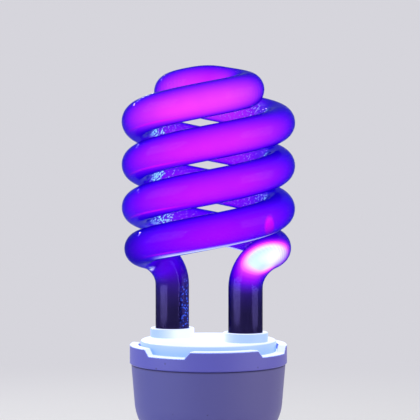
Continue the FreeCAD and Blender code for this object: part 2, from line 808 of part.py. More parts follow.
def make_mains_wires():
    """Wires from the board to the screw shell and to the centre contact."""
    top = number(BOARD_BOTTOM)
    reach = size("mains_wire_radius")
    radius = "dims.mains_wire / 2"

    def spot(angle, distance, height):
        return Vector(distance * math.cos(angle), distance * math.sin(angle), height)

    shell_angle = math.radians(size("shell_wire_angle"))
    low = number(SHELL_WIRE)
    end = number(SHELL_BORE) - size("cap_fit")
    run = [spot(shell_angle, reach, top), spot(shell_angle, reach, low), spot(shell_angle, end, low)]
    path = rounded_path("shell_wire_path", run, size("shell_wire_bend"))
    x, y = polar("dims.mains_wire_radius", "dims.shell_wire_angle")
    shell_wire = sweep("mains_wire_shell", path, radius, x, y, BOARD_BOTTOM)

    contact_angle = math.radians(size("contact_wire_angle"))
    run = [
        spot(contact_angle, reach, top),
        spot(contact_angle, reach, size("contact_wire_turn")),
        Vector(0, 0, size("contact_wire_axis")),
        Vector(0, 0, size("contact_height")),
    ]
    path = rounded_path("contact_wire_path", run, size("contact_wire_bend"))
    x, y = polar("dims.mains_wire_radius", "dims.contact_wire_angle")
    contact_wire = sweep("mains_wire_contact", path, radius, x, y, BOARD_BOTTOM)
    return [shell_wire, contact_wire]


def make_bulk_capacitor():
    """Aluminium can with its rolled crimp, on the middle of the board."""
    crimp = f"({BOARD_BOTTOM} - dims.can_crimp_depth)"
    low = f"({BOARD_BOTTOM} - dims.can_length)"
    body = turned("bulk_capacitor", [
        ("0", BOARD_BOTTOM),
        (CAN_RADIUS, BOARD_BOTTOM),
        (CAN_RADIUS, f"{crimp} + dims.can_crimp"),
        (f"{CAN_RADIUS} - dims.can_crimp", crimp),
        (CAN_RADIUS, f"{crimp} - dims.can_crimp"),
        (CAN_RADIUS, low),
        ("0", low),
    ])
    radius, height = number(CAN_RADIUS), number(low)
    soften(body, "can_rounding", "Fillet", "dims.can_round", lambda edge: is_ring(edge, radius, height))
    return body


def make_choke():
    """Choke beside the can: a core with two windows, a bobbin and its winding."""
    x = f"-({CAN_RADIUS} + dims.part_gap + dims.core_width / 2)"
    low = f"({BOARD_BOTTOM} - dims.core_height)"
    window = "((dims.core_width - dims.core_centre) / 2 - dims.core_yoke)"
    window_height = "(dims.core_height - 2 * dims.core_yoke)"
    window_low = f"({low} + dims.core_yoke)"
    blank = box("core_blank", "dims.core_width", "dims.core_depth", "dims.core_height", x, "0", low)
    offset = f"(dims.core_centre / 2 + {window} / 2)"
    windows = [
        box(f"core_window_{side}", window, "dims.core_depth", window_height,
            f"{x} {sign} {offset}", "0", window_low)
        for side, sign in ((1, "+"), (2, "-"))
    ]
    core = cut("choke_core", blank, group("core_windows", windows))

    # The bobbin's tube slips over the centre leg, and its flanges fill the windows' ends
    hole_width = "(dims.core_centre + 2 * dims.bobbin_clearance)"
    hole_depth = "(dims.core_depth + 2 * dims.bobbin_clearance)"
    tube_width = f"({hole_width} + 2 * dims.bobbin_wall)"
    tube_depth = f"({hole_depth} + 2 * dims.bobbin_wall)"
    flange_width = f"({tube_width} + 2 * dims.winding_build)"
    flange_depth = f"({tube_depth} + 2 * dims.winding_build)"
    spool_low = f"({window_low} + dims.bobbin_clearance)"
    spool_height = f"({window_height} - 2 * dims.bobbin_clearance)"
    coil_low = f"({spool_low} + dims.bobbin_wall)"
    coil_height = f"({spool_height} - 2 * dims.bobbin_wall)"
    spool = box("bobbin_blank", flange_width, flange_depth, spool_height, x, "0", spool_low)
    space = cut("bobbin_space",
                box("bobbin_space_outer", flange_width, flange_depth, coil_height, x, "0", coil_low),
                box("bobbin_space_inner", tube_width, tube_depth, coil_height, x, "0", coil_low))
    hole = box("bobbin_hole", hole_width, hole_depth, spool_height, x, "0", spool_low)
    bobbin = cut("choke_bobbin", cut("bobbin_spool", spool, space), hole)
    winding = cut("choke_winding",
                  box("winding_outer", flange_width, flange_depth, coil_height, x, "0", coil_low),
                  box("winding_inner", tube_width, tube_depth, coil_height, x, "0", coil_low))
    return [core, bobbin, winding]


def make_drive_transformer():
    """Small ferrite ring with three short windings of bare loops."""
    reach = f"({CAN_RADIUS} + dims.part_gap + dims.ring_outside)"
    x, y = polar(reach, "dims.ring_angle")
    cover = "(dims.ring_wire + dims.ring_wire_gap)"
    low = f"({BOARD_BOTTOM} - {cover} - dims.ring_height)"
    ring = cut("drive_ring",
               cylinder("ring_outer", "dims.ring_outside / 2", "dims.ring_height", x, y, low),
               cylinder("ring_hole", "dims.ring_inside / 2", "dims.ring_height", x, y, low))
    section = "((dims.ring_outside - dims.ring_inside) / 2)"
    middle = "((dims.ring_outside + dims.ring_inside) / 4)"
    inner_width = f"({section} + 2 * dims.ring_wire_gap)"
    inner_height = "(dims.ring_height + 2 * dims.ring_wire_gap)"
    loops = []
    for set_number in range(int(size("ring_groups"))):
        for turn_number in range(int(size("ring_turns"))):
            angle = f"({set_number} * 360 / dims.ring_groups + {turn_number} * dims.ring_turn_step)"
            tag = f"{set_number + 1}_{turn_number + 1}"
            outer = bind(new("Part::Box", f"loop_outer_{tag}"), Length=f"{inner_width} + 2 * dims.ring_wire",
                         Width="dims.ring_wire", Height=f"{inner_height} + 2 * dims.ring_wire")
            inner = bind(new("Part::Box", f"loop_inner_{tag}"), Length=inner_width,
                         Width="dims.ring_wire", Height=inner_height)
            place(inner, "dims.ring_wire", "0", "dims.ring_wire")
            loop = cut(f"loop_{tag}", outer, inner)
            near = f"({middle} - {inner_width} / 2 - dims.ring_wire)"
            side = "(dims.ring_wire / 2)"
            loop_x = f"{x} + {near} * cos({angle} * 1deg) + {side} * sin({angle} * 1deg)"
            loop_y = f"{y} + {near} * sin({angle} * 1deg) - {side} * cos({angle} * 1deg)"
            loops.append(place(loop, loop_x, loop_y, f"{low} - {cover}", angle))
    return [ring, group("drive_ring_windings", loops)]


def make_transistor(count, side):
    """Flat power transistor that hangs from its three legs."""
    x = f"{side} * (dims.part_gap + dims.transistor_width) / 2"
    y = f"-({CAN_RADIUS} + dims.part_gap + dims.transistor_depth / 2)"
    top = f"({BOARD_BOTTOM} - dims.transistor_legs)"
    low = f"({top} - dims.transistor_height)"
    block = box(f"transistor_block_{count}", "dims.transistor_width", "dims.transistor_depth",
                "dims.transistor_height", x, y, low)
    hole = bind(new("Part::Cylinder", f"transistor_hole_{count}"), Radius="dims.transistor_hole / 2",
                Height="dims.transistor_depth")
    place(hole, x, f"{y} + dims.transistor_depth / 2", f"{low} + dims.transistor_hole", "90", Vector(1, 0, 0))
    legs = [
        box(f"transistor_{count}_leg_{leg + 2}", "dims.transistor_leg", "dims.transistor_leg",
            "dims.transistor_legs", f"{x} + {leg} * dims.transistor_leg_step", y, top)
        for leg in (-1, 0, 1)
    ]
    drilled = cut(f"transistor_drilled_{count}", block, hole)
    return fuse(f"switching_transistor_{count}", [drilled] + legs)


def make_film_capacitor(name, word, x):
    """Dipped film capacitor, a block with rounded edges."""
    body = new("PartDesign::Body", name)
    half_depth, half_width = f"dims.{word}_depth / 2", f"dims.{word}_width / 2"
    low = f"({BOARD_BOTTOM} - dims.{word}_height)"
    base = outline(body, f"{name}_outline", [
        (f"{x} - {half_depth}", f"-{half_width}"),
        (f"{x} + {half_depth}", f"-{half_width}"),
        (f"{x} + {half_depth}", half_width),
        (f"{x} - {half_depth}", half_width),
    ], role="XY_Plane")
    base.setExpression("AttachmentOffset.Base.z", low)
    raise_pad(body, f"{name}_block", base, f"dims.{word}_height")
    bottom = number(low)
    soften(body, f"{name}_rounding", "Fillet", "dims.film_round",
           lambda edge: is_upright(edge) or is_level_at(edge, bottom))
    return body


def make_filter_choke():
    """Drum core with its winding, behind the can."""
    y = f"{CAN_RADIUS} + dims.part_gap + dims.drum_outside / 2"
    rim, waist = "dims.drum_outside / 2", "dims.drum_waist / 2"
    low = f"({BOARD_BOTTOM} - dims.drum_height)"
    upper, lower = f"{BOARD_BOTTOM} - dims.drum_flange", f"{low} + dims.drum_flange"
    core = turned("filter_core", [
        ("0", BOARD_BOTTOM),
        (rim, BOARD_BOTTOM),
        (rim, upper),
        (waist, upper),
        (waist, lower),
        (rim, lower),
        (rim, low),
        ("0", low),
    ])
    wound = "dims.drum_winding / 2"
    winding = turned("filter_winding", [(waist, lower), (wound, lower), (wound, upper), (waist, upper)])
    return [place(core, "0", y), place(winding, "0", y)]


def lying_part(name, radius, length, x, y, end=None, waist=None):
    """Axial part that lies along X against the board, with thicker ends where it has them."""
    corners = [("0", "0"), (radius, "0"), (radius, length), ("0", length)]
    if waist is not None:
        corners[2:2] = [
            (radius, end),
            (waist, end),
            (waist, f"{length} - {end}"),
            (radius, f"{length} - {end}"),
        ]
    body = turned(name, corners)
    return place(body, f"{x} - {length} / 2", y, f"{BOARD_BOTTOM} - {radius}", "90", Vector(0, 1, 0))


def make_lying_parts():
    """Diodes, resistors and the fuse that lie flat against the board."""
    front = f"-({CAN_RADIUS} + dims.transistor_depth + dims.diode_row_gap + dims.diode_diameter)"
    row = "dims.diode_step * (dims.diode_count - 1) / 2 + dims.diode_row_shift"
    diodes = [
        lying_part(f"diode_{i + 1}", "dims.diode_diameter / 2", "dims.diode_length",
                   f"{i} * dims.diode_step - ({row})", front)
        for i in range(int(size("diode_count")))
    ]
    x = "-(dims.drum_outside / 2 + dims.part_gap + dims.resistor_length / 2)"
    y = f"({CAN_RADIUS} + dims.lying_gap)"
    resistors = [
        lying_part(f"resistor_{i + 1}", "dims.resistor_diameter / 2", "dims.resistor_length", x,
                   f"{y} + {i} * dims.resistor_step", "dims.resistor_end", "dims.resistor_waist / 2")
        for i in range(int(size("resistor_count")))
    ]
    trigger_x = f"-({CAN_RADIUS} + dims.transistor_width - dims.part_gap)"
    fuse_x = "dims.transistor_width + dims.lying_gap + dims.fuse_length / 2"
    near_side = f"-{y}"
    trigger = lying_part("trigger_diode", "dims.trigger_diameter / 2", "dims.trigger_length",
                         trigger_x, near_side)
    fuse_part = lying_part("fuse_resistor", "dims.fuse_diameter / 2", "dims.fuse_length",
                           fuse_x, near_side)
    return [group("rectifier_diodes", diodes), group("bias_resistors", resistors), trigger, fuse_part]


parts = [
    make_spiral_tube(),
    make_tube_cover(),
    make_leg_cement(1, "0"),
    make_leg_cement(2, "180"),
    make_ballast_housing(),
    make_screw_shell(),
    make_cap_insulator(),
    make_centre_contact(),
    make_ballast_board(),
    make_filament_lead(1, "0", "+"),
    make_filament_lead(2, "0", "-"),
    make_filament_lead(3, "180", "+"),
    make_filament_lead(4, "180", "-"),
    make_bulk_capacitor(),
    make_transistor(1, "-1"),
    make_transistor(2, "1"),
]
film_x = f"({CAN_RADIUS} + dims.part_gap + dims.film_depth / 2)"
start_x = f"({film_x} + dims.film_depth / 2 + dims.part_gap + dims.start_depth / 2)"
parts.append(make_film_capacitor("resonant_capacitor", "film", film_x))
parts.append(make_film_capacitor("start_capacitor", "start", start_x))
parts += make_mains_wires()
parts += make_choke()
parts += make_drive_transformer()
parts += make_filter_choke()
parts += make_lying_parts()
doc.recompute()

for item in doc.Objects:
    if "Invalid" in item.State or "Error" in item.State:
        raise RuntimeError(f"{item.Name} failed: {item.State}")
for part in parts:
    if part.Shape.isNull() or not part.Shape.isValid():
        raise RuntimeError(f"{part.Label} has no valid shape")

os.makedirs("parts", exist_ok=True)
for part in parts:
    part.Shape.exportStep(f"parts/{part.Label}.step")
    print(f"{part.Label}: {len(part.Shape.Solids)} solid, {part.Shape.Volume:.1f} mm3")
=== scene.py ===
# %% [markdown]
# # A lit spiral black light lamp
# A glass tube, coiled as a double helix, stands on two legs in a white cover over a ballast cup
# with a screw cap. The lamp is on: its coating glows magenta and violet behind dark violet glass,
# and the white plastic nearest to it fluoresces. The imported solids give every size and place, in
# metres, and this script gives each of them a finish. Only the tube is made anew, because light has
# to pass through it.

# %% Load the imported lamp
import math

import bpy
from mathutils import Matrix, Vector


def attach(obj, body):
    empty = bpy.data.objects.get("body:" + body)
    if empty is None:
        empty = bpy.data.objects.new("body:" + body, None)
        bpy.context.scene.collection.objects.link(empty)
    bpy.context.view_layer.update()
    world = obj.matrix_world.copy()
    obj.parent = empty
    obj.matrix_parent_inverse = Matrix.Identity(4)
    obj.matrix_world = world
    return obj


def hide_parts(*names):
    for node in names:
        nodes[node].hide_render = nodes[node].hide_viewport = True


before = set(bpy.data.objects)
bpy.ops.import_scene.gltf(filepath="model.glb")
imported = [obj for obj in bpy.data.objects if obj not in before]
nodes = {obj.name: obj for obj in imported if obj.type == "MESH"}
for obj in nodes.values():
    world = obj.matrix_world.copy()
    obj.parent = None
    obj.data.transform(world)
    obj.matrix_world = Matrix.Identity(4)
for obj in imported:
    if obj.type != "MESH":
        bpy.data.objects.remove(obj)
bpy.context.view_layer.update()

MM = 0.001

# %% [markdown]
# ## Writing node trees as expressions
# A finish is a tree of small nodes, and wiring it by hand hides what it says. Here one class wraps
# an output socket, so that `1 - mask` or `grain * 0.2` adds the Math nodes by itself. A second
# class holds the tree, with one method that adds any other node: its settings first, because they
# decide which sockets it has, and then the values or links of those sockets. The world and the
# sweep of the tube are written with the same two.


# %% The wrapped socket and the tree
class Value:
    """One output socket of a tree. Python's operators on it add Math nodes."""

    def __init__(self, wiring, socket):
        self.wiring = wiring
        self.socket = socket

    def __add__(self, other):
        return self.wiring.math("ADD", self, other)

    def __sub__(self, other):
        return self.wiring.math("SUBTRACT", self, other)

    def __rsub__(self, other):
        return self.wiring.math("SUBTRACT", other, self)

    def __mul__(self, other):
        return self.wiring.math("MULTIPLY", self, other)

    def __truediv__(self, other):
        return self.wiring.math("DIVIDE", self, other)

    def __rtruediv__(self, other):
        return self.wiring.math("DIVIDE", other, self)

    def __pow__(self, other):
        return self.wiring.math("POWER", self, other)

    def __rpow__(self, other):
        return self.wiring.math("POWER", other, self)

    __radd__ = __add__
    __rmul__ = __mul__


class Wiring:
    """A node tree under construction."""

    def __init__(self, tree):
        self.tree = tree
        self.tree.nodes.clear()

    def node(self, kind, settings=None, sockets=None, output=0):
        """Add a node: its settings first, then the values or links of its sockets."""
        made = self.tree.nodes.new(kind)
        for name, setting in (settings or {}).items():
            if name == "stops":
                fill_ramp(made.color_ramp, setting)
            else:
                setattr(made, name, setting)
        for name, value in (sockets or {}).items():
            if isinstance(value, Value):
                self.tree.links.new(value.socket, made.inputs[name])
            else:
                made.inputs[name].default_value = value
        return Value(self, made.outputs[output]) if made.outputs else None

    def math(self, operation, first, second=0.0):
        return self.node("ShaderNodeMath", {"operation": operation}, {0: first, 1: second})

    def layer(self, share, under, over):
        """One shader laid over another by a share."""
        return self.node("ShaderNodeMixShader", None, {0: share, 1: under, 2: over})


def fill_ramp(ramp, stops):
    """Give a colour ramp its stops, from a list of places and colours."""
    while len(ramp.elements) < len(stops):
        ramp.elements.new(1.0)
    for element, (place, colour) in zip(ramp.elements, stops):
        element.position = place
        element.color = colour


print("sums of sockets can be written as expressions")


# %% The finish
class Finish(Wiring):
    """A material under construction."""

    def __init__(self, name):
        self.material = bpy.data.materials.new(name)
        self.material.use_nodes = True
        super().__init__(self.material.node_tree)
        self.place = self.node("ShaderNodeTexCoord", output="Object")
        self.normal = Value(self, self.place.socket.node.outputs["Normal"])

    def vector(self, operation, first, second=None, output=0):
        sockets = {0: first} if second is None else {0: first, 1: second}
        return self.node("ShaderNodeVectorMath", {"operation": operation}, sockets, output)

    def parts_of(self, vector):
        """The x, y and z of a vector, each as a value."""
        first = self.node("ShaderNodeSeparateXYZ", None, {"Vector": vector}, "X")
        outputs = first.socket.node.outputs
        return first, Value(self, outputs["Y"]), Value(self, outputs["Z"])

    def from_axis(self):
        """How far a place is from the lamp's axis."""
        x, y, _ = self.parts_of(self.place)
        return (x * x + y * y) ** 0.5

    def noise(self, scale, detail=2.0, roughness=0.5, place=None):
        sockets = {"Vector": place or self.place, "Scale": scale,
                   "Detail": detail, "Roughness": roughness}
        return self.node("ShaderNodeTexNoise", None, sockets, "Fac")

    def smooth(self, value, low, high):
        """0 at low, 1 at high, with an even slope in and out."""
        sockets = {"Value": value, "From Min": low, "From Max": high}
        return self.node("ShaderNodeMapRange", {"interpolation_type": "SMOOTHSTEP"}, sockets)

    def mix(self, share, first, second, blend="MIX"):
        """A colour between two colours, or another blend of them."""
        settings = {"data_type": "RGBA", "blend_type": blend}
        return self.node("ShaderNodeMix", settings, {0: share, 6: first, 7: second}, 2)

    def shade(self, colour, amount):
        """A colour times a number or another colour."""
        return self.mix(1.0, colour, amount, "MULTIPLY")

    def ramp(self, value, stops):
        return self.node("ShaderNodeValToRGB", {"stops": stops}, {"Fac": value}, "Color")

    def bump(self, height, depth, strength):
        """A normal that follows a height of 0 to 1 times a depth in metres."""
        sockets = {"Height": height, "Distance": depth, "Strength": strength}
        return self.node("ShaderNodeBump", None, sockets)

    def principled(self, **sockets):
        """The usual surface shader: base_color stands for Base Color, and so on."""
        named = {name.replace("_", " ").title(): value for name, value in sockets.items()}
        named = {"IOR" if name == "Ior" else name: value for name, value in named.items()}
        return self.node("ShaderNodeBsdfPrincipled", None, named)

    def done(self, surface, volume=None):
        sockets = {"Surface": surface}
        if volume is not None:
            sockets["Volume"] = volume
        self.node("ShaderNodeOutputMaterial", None, sockets)
        return self.material


def linear(red, green, blue):
    """A colour from the 0 to 255 scale of a picture, as light."""
    def light(level):
        share = level / 255
        return share / 12.92 if share <= 0.04045 else ((share + 0.055) / 1.055) ** 2.4
    return (light(red), light(green), light(blue), 1.0)


WHITE = (1, 1, 1, 1)
print("finishes can be written, and a middle grey of 128 is", round(linear(128, 128, 128)[0], 3))

# %% [markdown]
# ## Camera
# The picture was taken from a little above the middle of the coil, with a long lens, and it cuts
# the lamp off at the cup. The strands' height in pixels gives the scale, and the way that rings
# open into ellipses above and below the level of the lens gives its height. A small tilt sets the
# framing, with no shift.

# %% Camera at the picture's viewing angle
PICTURE_SIDE = 420
LENS_PIXELS = 1700
SENSOR = 36.0
MM_PER_PIXEL = 0.352
AXIS_PIXEL = 208.4
LENS_LEVEL_PIXEL = 165
LENS_HEIGHT = 131.87 * MM

distance = LENS_PIXELS * MM_PER_PIXEL * MM
camera_data = bpy.data.cameras.new("camera")
camera_data.sensor_width = SENSOR
camera_data.lens = SENSOR * LENS_PIXELS / PICTURE_SIDE
camera = bpy.data.objects.new("camera", camera_data)
bpy.context.scene.collection.objects.link(camera)
aside = (PICTURE_SIDE / 2 - AXIS_PIXEL) * MM_PER_PIXEL * MM
tilt = math.atan((PICTURE_SIDE / 2 - LENS_LEVEL_PIXEL) / LENS_PIXELS)
camera.location = (aside, -distance, LENS_HEIGHT)
camera.rotation_euler = (math.pi / 2 - tilt, 0, 0)
bpy.context.scene.camera = camera
bpy.context.scene.view_settings.view_transform = "Standard"
print("camera", round(distance, 3), "m away, lens", round(camera_data.lens, 1), "mm, tilt",
      round(math.degrees(tilt), 2), "degrees")

# %% [markdown]
# ## Stage
# A lit lamp glows in any room, so the stage is plain. A floor that ends at the sky shows a hard
# horizon. A curved backdrop would hide it from one side only, so this floor is flat and fades into
# the backdrop's colour away from the lamp, on every side.

# %% Pale floor
BACKDROP = linear(214, 213, 220)
FLOOR_HALF = 6.0
FLOOR_GAP = 0.2 * MM
FADE_START = 0.15
FADE_END = 0.55


def floor_finish():
    finish = Finish("pale_floor")
    cloud = finish.noise(3.0, 4.0)
    grain = finish.noise(900.0, 2.0)
    near = finish.principled(
        base_color=finish.mix(cloud * 0.4, linear(250, 250, 252), linear(240, 240, 246)),
        roughness=0.75 + grain * 0.15, normal=finish.bump(grain, 0.05 * MM, 0.4))
    far = finish.node("ShaderNodeEmission", None, {"Color": BACKDROP, "Strength": 1.0})
    away = finish.smooth(finish.from_axis(), FADE_START, FADE_END)
    return finish.done(finish.layer(away, near, far))


corners = [(x * FLOOR_HALF, y * FLOOR_HALF, -FLOOR_GAP)
           for x, y in ((-1, -1), (1, -1), (1, 1), (-1, 1))]
floor_mesh = bpy.data.meshes.new("floor")
floor_mesh.from_pydata(corners, [], [(0, 1, 2, 3)])
floor_mesh.materials.append(floor_finish())
floor = bpy.data.objects.new("floor", floor_mesh)
bpy.context.scene.collection.objects.link(floor)
print("floor", 2 * FLOOR_HALF, "m wide")

# %% [markdown]
# ## Light
# Soft boxes stand round the lamp. The two at the sides show as pale bars on the glass, a narrow one
# behind draws short bright streaks at the upper left of the turns, and a weak one lights the back.
# The world that the camera, mirrors and glass see is set apart from the one that lights the scene,
# so that the backdrop can be pale without more light on the lamp.

# %% World and lamps
WORLD_LIGHT = 0.35
LAMP_MIDDLE = Vector((0, 0, 0.1))


def pale_world():
    world = bpy.data.worlds.new("pale_world")
    world.use_nodes = True
    sky = Wiring(world.node_tree)
    by_camera, by_mirror, through_glass = (
        sky.node("ShaderNodeLightPath", output=ray)
        for ray in ("Is Camera Ray", "Is Glossy Ray", "Is Transmission Ray"))
    seen = sky.math("MAXIMUM", sky.math("MAXIMUM", by_camera, by_mirror), through_glass)
    light = sky.node("ShaderNodeBackground", None, {"Color": WHITE, "Strength": WORLD_LIGHT})
    backdrop = sky.node("ShaderNodeBackground", None, {"Color": BACKDROP, "Strength": 1.0})
    sky.node("ShaderNodeOutputWorld", None, {"Surface": sky.layer(seen, light, backdrop)})
    return world


def soft_box(name, place, width, height, level, mirrored=True):
    """A flat light of an even brightness, aimed at the middle of the lamp."""
    data = bpy.data.lights.new(name, "AREA")
    data.shape = "RECTANGLE"
    data.size = width
    data.size_y = height
    data.energy = level * math.pi * width * height
    box = bpy.data.objects.new(name, data)
    box.location = place
    box.rotation_euler = (LAMP_MIDDLE - Vector(place)).to_track_quat("-Z", "Y").to_euler()
    box.visible_camera = False
    box.visible_glossy = mirrored
    bpy.context.scene.collection.objects.link(box)
    print(name, "of", width, "by", height, "m at level", level)


bpy.context.scene.world = pale_world()
print("world at level", WORLD_LIGHT)
soft_box("left_box", (-0.66, -0.36, 0.24), width=0.80, height=0.70, level=2.25)
soft_box("right_box", (0.70, -0.30, 0.22), width=0.70, height=0.70, level=2.1)
soft_box("back_box", (0.25, 0.85, 0.75), width=0.60, height=0.60, level=1.5, mirrored=False)
soft_box("edge_box", (-0.48, 0.74, 0.52), width=0.70, height=0.02, level=56.0)

# %% [markdown]
# ## The tube's path
# A spiral tube is wound hot round a mandrel: each leg rises straight, bends over an elbow into a
# short arc that joins the coil, climbs one and a half turns, turns in over the crown, curls round
# and crosses the axis. There it meets its twin, which is the same half turned round. Every stretch
# is an arc or a line in plan with a slope, so a few formulas give the path. The lengths are the
# solid's own.

# %% Sizes of the tube
TUBE_RADIUS = 6.0 * MM
COIL_RADIUS = 24.5 * MM
TURN_GAP = 3.1 * MM
COIL_END = math.radians(556)
CURL_RADIUS = 9.2 * MM
CROSSING = 8.4 * MM
CROSSING_WAY = math.radians(180)
CROSSING_SLOPE = math.tan(math.radians(9.5))
LEG_REACH = 15.3 * MM
LEG_ANGLE = math.radians(-32.5)
LEAD_IN_TURN = math.radians(58.5)
ELBOW_RADIUS = 12.0 * MM
FOOT = 61.0 * MM
ELBOW = 89.2 * MM
POINT_STEP = 1.0 * MM
STRANDS = 2
SLOPE = STRANDS * (2 * TUBE_RADIUS + TURN_GAP) / (2 * math.pi * COIL_RADIUS)
AXIS = Vector((0, 0, 0))
print("the coil climbs", round(2 * math.pi * COIL_RADIUS * SLOPE / MM, 1), "mm a turn")


# %% Arcs in plan
def steps(length):
    """Shares from just above 0 to 1, a point step apart."""
    count = max(2, round(length / POINT_STEP))
    return [i / count for i in range(1, count + 1)]


def around(centre, radius, angle, height):
    x = centre.x + radius * math.cos(angle)
    y = centre.y + radius * math.sin(angle)
    return Vector((x, y, height))


def rising_arc(centre, radius, start, turn, height, slope, last_slope):
    """Points of an arc in plan whose slope changes evenly from first to last."""
    length = radius * turn
    points = []
    for share in steps(length):
        rise = (slope + (last_slope - slope) * share / 2) * length * share
        points.append(around(centre, radius, start + turn * share, height + rise))
    return points


print("a full turn of the coil has", len(steps(2 * math.pi * COIL_RADIUS)), "points")


# %% The whole path
def half_path(foot):
    """Points of one half of the tube, from a height in its leg to the middle of the crown."""
    points = [around(AXIS, LEG_REACH, LEG_ANGLE, foot + (ELBOW - foot) * share)
              for share in [0.0] + steps(ELBOW - foot)]
    leg = points[-1]

    # The lead-in arc passes through the leg and meets the coil's circle without a kink
    inner = LEG_REACH * math.cos(LEAD_IN_TURN)
    chord = LEG_REACH**2 + COIL_RADIUS**2 - 2 * COIL_RADIUS * inner
    lead_in = chord / (2 * (COIL_RADIUS - inner))
    joint = LEG_ANGLE + LEAD_IN_TURN
    centre = around(AXIS, COIL_RADIUS - lead_in, joint, 0)
    start = math.atan2(leg.y - centre.y, leg.x - centre.x)
    bend = math.pi / 2 - math.atan(SLOPE)
    for share in steps(ELBOW_RADIUS * bend):
        angle = bend * share
        after = start + ELBOW_RADIUS * (1 - math.cos(angle)) / lead_in
        points.append(around(centre, lead_in, after, ELBOW + ELBOW_RADIUS * math.sin(angle)))
    points += rising_arc(centre, lead_in, after, joint - after, points[-1].z, SLOPE, SLOPE)
    points += rising_arc(AXIS, COIL_RADIUS, joint, COIL_END - joint, points[-1].z, SLOPE, SLOPE)
    return points + crown_path(points[-1].z)


def crown_path(height):
    """Points from the end of the coil: an arc that turns in, a curl, and half of the crossing."""
    ahead = around(AXIS, 1, CROSSING_WAY, 0)
    half = CROSSING / 2
    curl_centre = Vector((-ahead.y, ahead.x, 0)) * CURL_RADIUS - ahead * half

    # The crown's arc touches both the coil's circle and the curl's
    beside = curl_centre.dot(around(AXIS, 1, COIL_END, 0))
    apart = COIL_RADIUS**2 + half**2 - 2 * COIL_RADIUS * beside
    crown = apart / (2 * (COIL_RADIUS - beside - CURL_RADIUS))
    crown_centre = around(AXIS, COIL_RADIUS - crown, COIL_END, 0)
    meeting = math.atan2(curl_centre.y - crown_centre.y, curl_centre.x - crown_centre.x)
    crown_turn = (meeting - COIL_END) % (2 * math.pi)
    curl_turn = (CROSSING_WAY - math.pi / 2 - meeting) % (2 * math.pi)
    points = rising_arc(crown_centre, crown, COIL_END, crown_turn, height, SLOPE, SLOPE)
    points += rising_arc(
        curl_centre, CURL_RADIUS, meeting, curl_turn, points[-1].z, SLOPE, CROSSING_SLOPE)
    start = points[-1]
    for share in steps(half):
        rise = CROSSING_SLOPE * (1 - share / 2) * half * share
        points.append(start + ahead * (half * share) + Vector((0, 0, rise)))
    return points


def tube_path(foot):
    """The whole path, from one foot over the crown to the other."""
    first = half_path(foot)
    second = [Vector((-point.x, -point.y, point.z)) for point in first]
    return first + second[-2::-1]


strand = half_path(FOOT)
HALF_RUN = sum((b - a).length for a, b in zip(strand, strand[1:]))
print("half of the tube is", round(HALF_RUN / MM, 1), "mm long, crown at",
      round((strand[-1].z + TUBE_RADIUS) / MM, 1), "mm")

# %% [markdown]
# ## Sweeping the tube with Geometry Nodes
# A curve with a bevel would make a round tube along a path too, but it can't carry a value along
# it. The tree below takes a path, a radius, a number of sides and a finish. Before Curve to Mesh
# sweeps the ring, the tree stores on each point how far along the glass it is from the nearer foot,
# in an attribute named run. The glow reads that, so that its colour follows the tube.

# %% The sweep tree
RUN = "run"
SWEEP_INPUTS = {"Path": "Geometry", "Radius": "Float", "Sides": "Int", "Finish": "Material"}


def sweep_tree():
    tree = bpy.data.node_groups.new("sweep_tube", "GeometryNodeTree")
    for name, kind in SWEEP_INPUTS.items():
        tree.interface.new_socket(name, in_out="INPUT", socket_type=f"NodeSocket{kind}")
    tree.interface.new_socket("Tube", in_out="OUTPUT", socket_type="NodeSocketGeometry")
    sweep = Wiring(tree)
    path, radius, sides, finish = (
        sweep.node("NodeGroupInput", output=name) for name in SWEEP_INPUTS)
    along = sweep.node("GeometryNodeSplineParameter", output="Length")
    whole = sweep.node("GeometryNodeSplineLength", output="Length")
    nearer = sweep.math("MINIMUM", along, whole - along)
    marked = sweep.node(
        "GeometryNodeStoreNamedAttribute", {"data_type": "FLOAT", "domain": "POINT"},
        {"Geometry": path, "Name": RUN, "Value": nearer})
    ring = sweep.node("GeometryNodeCurvePrimitiveCircle", {"mode": "RADIUS"},
                      {"Resolution": sides, "Radius": radius})
    swept = sweep.node("GeometryNodeCurveToMesh", None,
                       {"Curve": marked, "Profile Curve": ring, "Fill Caps": True})
    smooth = sweep.node("GeometryNodeSetShadeSmooth", None, {"Geometry": swept})
    real = sweep.node("GeometryNodeRealizeInstances", None, {"Geometry": smooth})
    dressed = sweep.node("GeometryNodeSetMaterial", None, {"Geometry": real, "Material": finish})
    sweep.node("NodeGroupOutput", None, {"Tube": dressed})
    return tree


SWEEP = sweep_tree()
print("the sweep has", len(SWEEP.nodes), "nodes")


# %% A swept tube as a plain mesh
def swept_tube(name, points, radius, sides, finish):
    """A plain mesh object: a tube of one radius along a path."""
    curve = bpy.data.curves.new(f"{name}_path", "CURVE")
    curve.dimensions = "3D"
    spline = curve.splines.new("POLY")
    spline.points.add(len(points) - 1)
    for knot, point in zip(spline.points, points):
        knot.co = (*point, 1.0)
    guide = bpy.data.objects.new(f"{name}_guide", curve)
    bpy.context.scene.collection.objects.link(guide)
    modifier = guide.modifiers.new("sweep", "NODES")
    modifier.node_group = SWEEP
    wanted = {"Radius": radius, "Sides": sides, "Finish": finish}
    for item in SWEEP.interface.items_tree:
        if item.in_out == "INPUT" and item.name in wanted:
            modifier[item.identifier] = wanted[item.name]
    graph = bpy.context.evaluated_depsgraph_get()
    mesh = bpy.data.meshes.new_from_object(guide.evaluated_get(graph), depsgraph=graph)
    guide.modifiers.remove(modifier)
    bpy.data.objects.remove(guide)
    bpy.data.curves.remove(curve)
    mesh.name = name
    piece = bpy.data.objects.new(name, mesh)
    bpy.context.scene.collection.objects.link(piece)
    print(name, "has", len(mesh.vertices), "points and", len(mesh.polygons), "faces")
    return piece


print("a tube of any radius can be swept")

